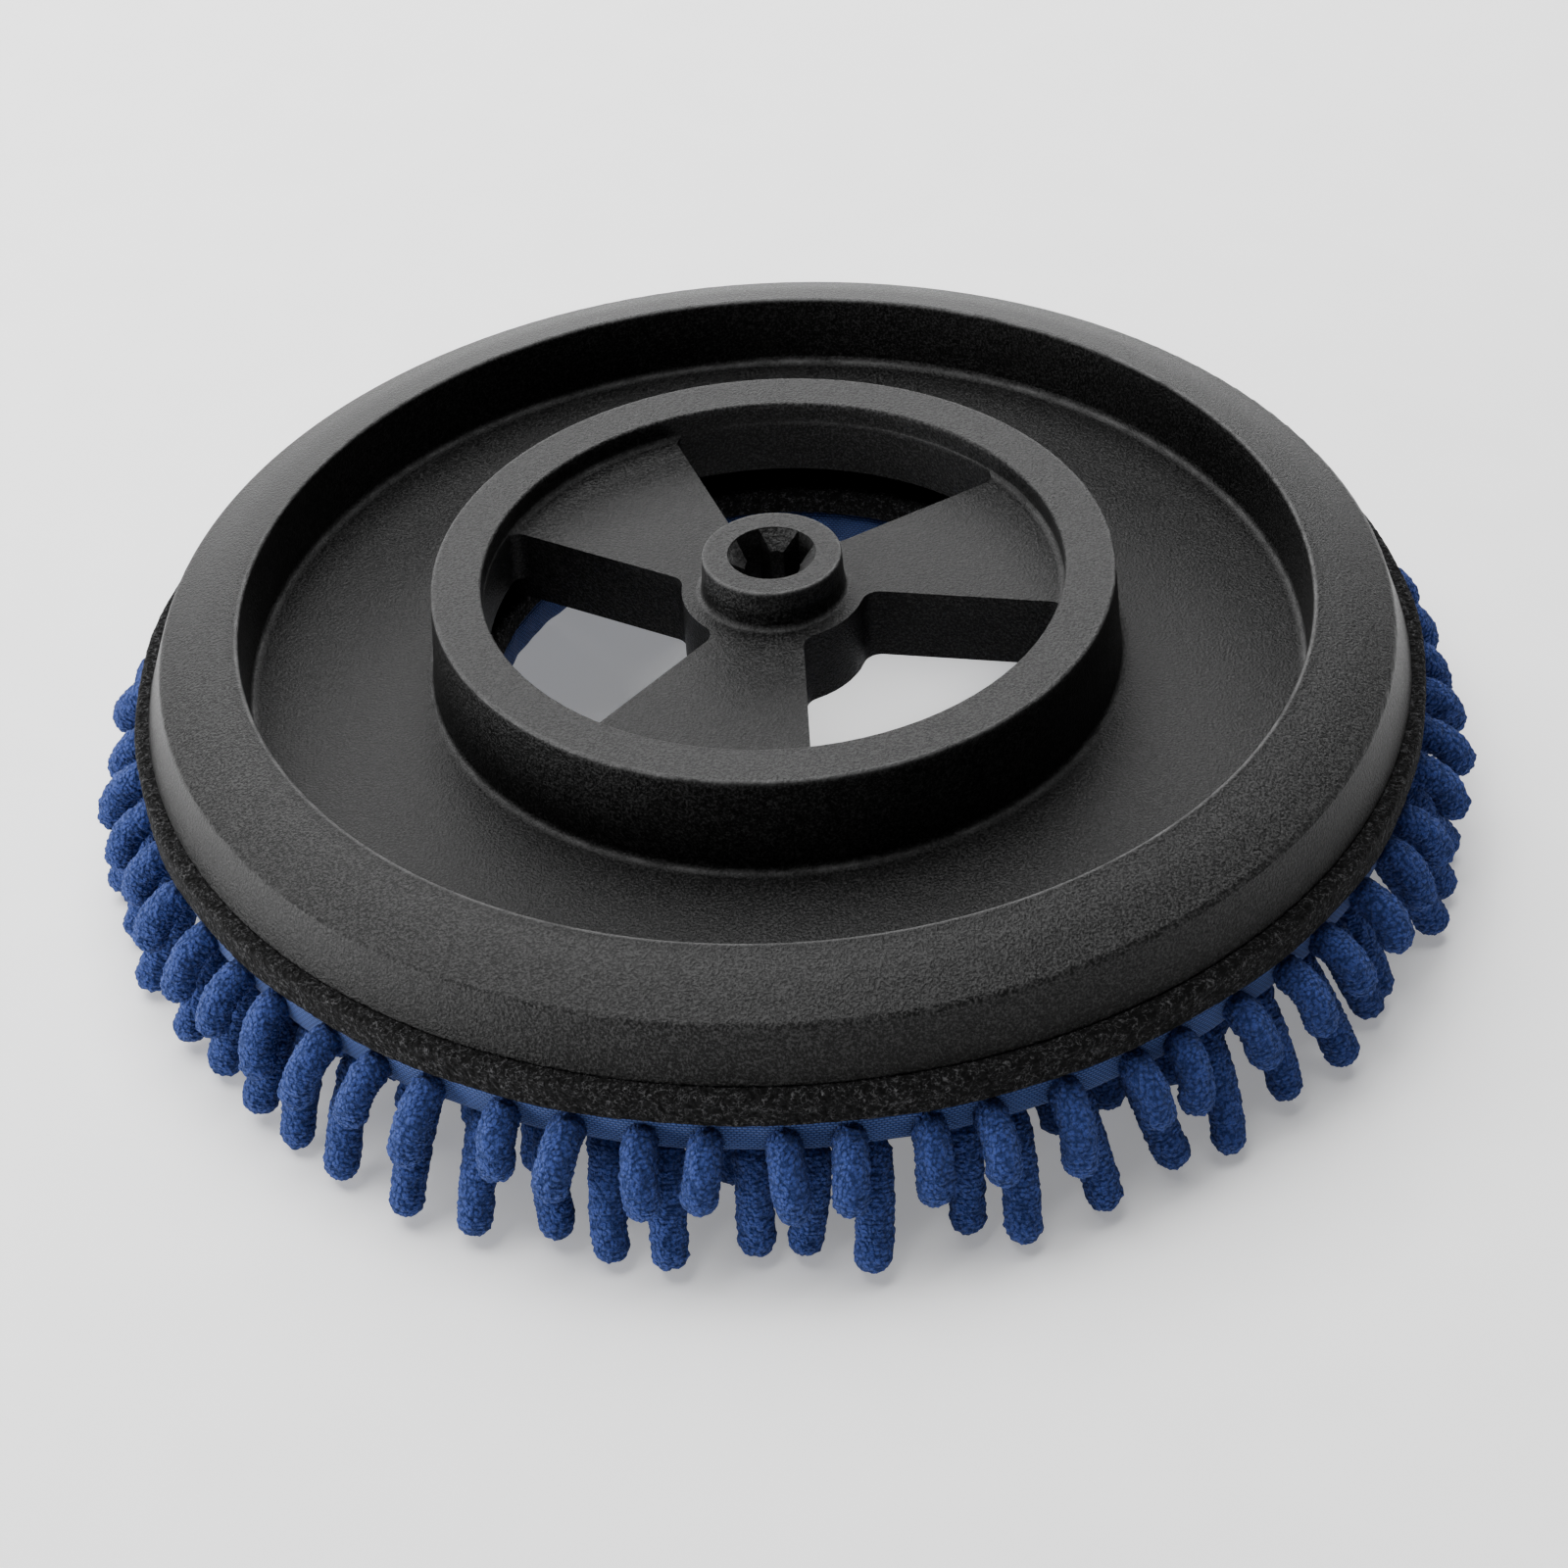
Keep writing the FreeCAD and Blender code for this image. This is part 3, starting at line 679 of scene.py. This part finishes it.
# ------------------------------------------------------------------ chenille strands
def finger(angle, root, bend, tip, thick, swing, sides, rings):
    """One strand: a round-ended soft bar on a bent centre line, (r, z) points in its plane."""
    root, bend, tip = (np.array(p) for p in (root, bend, tip))
    cos_a, sin_a = math.cos(angle), math.sin(angle)

    def place(p, sideways):
        return (p[0] * cos_a - sideways * sin_a, p[0] * sin_a + sideways * cos_a, p[1])

    line = []
    for k in range(33):
        t = k / 32.0
        line.append((1 - t) ** 2 * root + 2 * t * (1 - t) * bend + t * t * tip)
    line = np.array(line)
    run = np.concatenate([[0.0], np.cumsum(np.linalg.norm(np.diff(line, axis=0), axis=1))])
    total = run[-1] + thick
    path, radii = [], []
    for k in range(rings):
        f = k / (rings - 1.0)
        # Rings crowd together at both ends, where the outline is round.
        s = total * (0.5 - 0.5 * math.cos(math.pi * f)) * 0.45 + total * f * 0.55
        s = min(max(s, 0.0002), total - 0.0002)
        if s <= run[-1]:
            p = np.array([np.interp(s, run, line[:, 0]), np.interp(s, run, line[:, 1])])
            over = 0.0
        else:
            way = (line[-1] - line[-2]) / np.linalg.norm(line[-1] - line[-2])
            over = s - run[-1]
            p = line[-1] + way * over
        width = math.sqrt(max(thick ** 2 - over ** 2, 0.0))
        if s < thick:
            width = min(width, thick * (0.70 + 0.30 * s / thick))
        path.append(place(p, swing * (s / total) ** 2))
        radii.append(max(width, 0.0003))
    return tube_along(path, radii, sides, 2.0 * math.pi * thick)


def strand_row(name, node, count, phase, stray, shape, sides, rings):
    """shape() gives root, bend, tip, thickness, sideways swing; stray is in radians."""
    bits = []
    for i in range(count):
        angle = 2.0 * math.pi * (i + phase) / count + rng.uniform(-stray, stray)
        root, bend, tip, thick, swing = shape()
        bits.append(finger(angle, root, bend, tip, thick, swing, sides, rings))
    row = joined(name, bits)
    for texture, strength in PILE:
        roughen(row, texture, strength)
    dress(row, CHENILLE, "pad", node)


TUFTS = clouds("chenille_tufts", 0.0013, "VORONOI_F1", 0)
LUMPS = clouds("chenille_lumps", 0.0060, "ORIGINAL_PERLIN", 1)
PILE = ((LUMPS, 0.0006), (TUFTS, 0.0012))


def upper_shape():
    """Leaves the binding right under the felt, nearly straight, sloping down and out."""
    root = (0.1745, 0.0370)
    reach = rng.uniform(-0.0018, 0.0018)
    drop = rng.uniform(-0.0026, 0.0022)
    tip = (0.1884 + reach, 0.0262 + drop)
    bend = (0.1856 + 0.6 * reach, 0.0369)
    return root, bend, tip, STRAND_R * rng.uniform(0.93, 1.0), rng.uniform(-0.0035, 0.0035)


def lower_shape():
    """Hangs from under the binding to the floor, a little different each time."""
    root = (0.1712 + rng.uniform(-0.0008, 0.0008), FINGER_ROOT_Z)
    reach = rng.uniform(-0.0046, 0.0044)
    tip = (0.1860 + reach, FINGER_TIP_Z + rng.uniform(-0.0001, 0.0020))
    bend = (0.1790 + 0.5 * reach, 0.0205)
    return root, bend, tip, STRAND_R * rng.uniform(0.92, 1.02), rng.uniform(-0.006, 0.006)


strand_row("edge_fingers_upper", "edge_strands_upper", EDGE_STRANDS, 0.0, 0.012,
           upper_shape, 44, 50)
strand_row("edge_fingers_lower", "edge_strands_lower", EDGE_STRANDS, 0.5, 0.028,
           lower_shape, 40, 58)


def hanging_shape_at(row_r, lean_range):
    """Shapes for one hidden row, straight down but for a small lean at the tip."""
    def hanging_shape():
        lean = rng.uniform(*lean_range)
        root = (row_r, FINGER_ROOT_Z)
        bend = (row_r + 0.3 * lean, 0.0180)
        tip = (row_r + lean, FINGER_TIP_Z + rng.uniform(0.0, 0.0020))
        return root, bend, tip, STRAND_R * rng.uniform(0.93, 1.02), rng.uniform(-0.004, 0.004)

    return hanging_shape


for number, (row_r, pitch) in enumerate(zip(ROW_RADII, ROW_PITCHES)):
    lean_range = (0.0030, 0.0130) if row_r == ROW_RADII[-1] else (-0.0020, 0.0030)
    strands = int(2.0 * math.pi * row_r / pitch)
    strand_row("hanging_fingers_" + str(number + 1), "strand_row_" + str(number + 1),
               strands, 0.25 * number, 0.008, hanging_shape_at(row_r, lean_range), 22, 26)


# ------------------------------------------------------------------ floor and light
def studio_floor():
    m = Nodes("pale_floor")
    fleck = m.noise(m.place(), 40.0, 3.0, 0.5)
    tone = m.blend(m.spread(fleck, 0.3, 0.7), (0.88, 0.88, 0.88), (0.91, 0.91, 0.91))
    m.set(Base_Color=tone, Roughness=0.85, Specular_IOR_Level=0.1)
    m.set(Emission_Color=(1.0, 1.0, 1.0), Emission_Strength=0.25)
    half = 4.0
    floor = new_mesh_object(
        "studio_floor",
        [(-half, -half, 0.0), (half, -half, 0.0), (half, half, 0.0), (-half, half, 0.0)],
        [(0, 1, 2, 3)], smooth=False)
    floor.data.materials.append(m.material)


def soft_light(name, place, target, size, power):
    """Rectangular area light at place, facing target."""
    light = bpy.data.lights.new(name, "AREA")
    light.shape = "RECTANGLE"
    light.size, light.size_y = size
    light.energy = power
    obj = bpy.data.objects.new(name, light)
    obj.location = place
    way = np.array(target) - np.array(place)
    flat_run = math.hypot(way[0], way[1])
    obj.rotation_euler = Euler((math.atan2(flat_run, -way[2]), 0.0,
                                math.atan2(way[1], way[0]) - 0.5 * math.pi))
    bpy.context.scene.collection.objects.link(obj)


studio_floor()
soft_light("softbox_over", (-0.38, 0.55, 1.8), (0.0, 0.0, 0.0), (2.2, 1.8), 96.0)
soft_light("softbox_back", (-0.1, 2.1, 0.72), (0.0, 0.0, 0.05), (3.0, 0.6), 42.0)
soft_light("softbox_left", (-1.6, -0.3, 0.24), (0.0, 0.0, 0.05), (1.6, 0.44), 38.0)
soft_light("softbox_right", (1.9, 0.7, 0.7), (0.0, 0.0, 0.05), (1.0, 1.0), 3.0)
soft_light("softbox_front", (0.1, -2.0, 0.5), (0.0, 0.0, 0.05), (2.0, 0.6), 5.0)

world = bpy.data.worlds.new("studio_air")
world.use_nodes = True
air = world.node_tree.nodes["Background"]
air.inputs["Color"].default_value = (0.95, 0.97, 1.0, 1.0)
air.inputs["Strength"].default_value = 0.08
bpy.context.scene.world = world

# ------------------------------------------------------------------ camera
lens = bpy.data.cameras.new("studio_camera")
lens.lens = 82.1
lens.sensor_width = 36.0
lens.clip_start = 0.01
camera = bpy.data.objects.new("studio_camera", lens)
camera.location = (-0.0123, -0.7999, 0.6597)
camera.rotation_euler = Euler((math.radians(50.611), math.radians(2.611), math.radians(-2.999)))
bpy.context.scene.collection.objects.link(camera)
bpy.context.scene.camera = camera
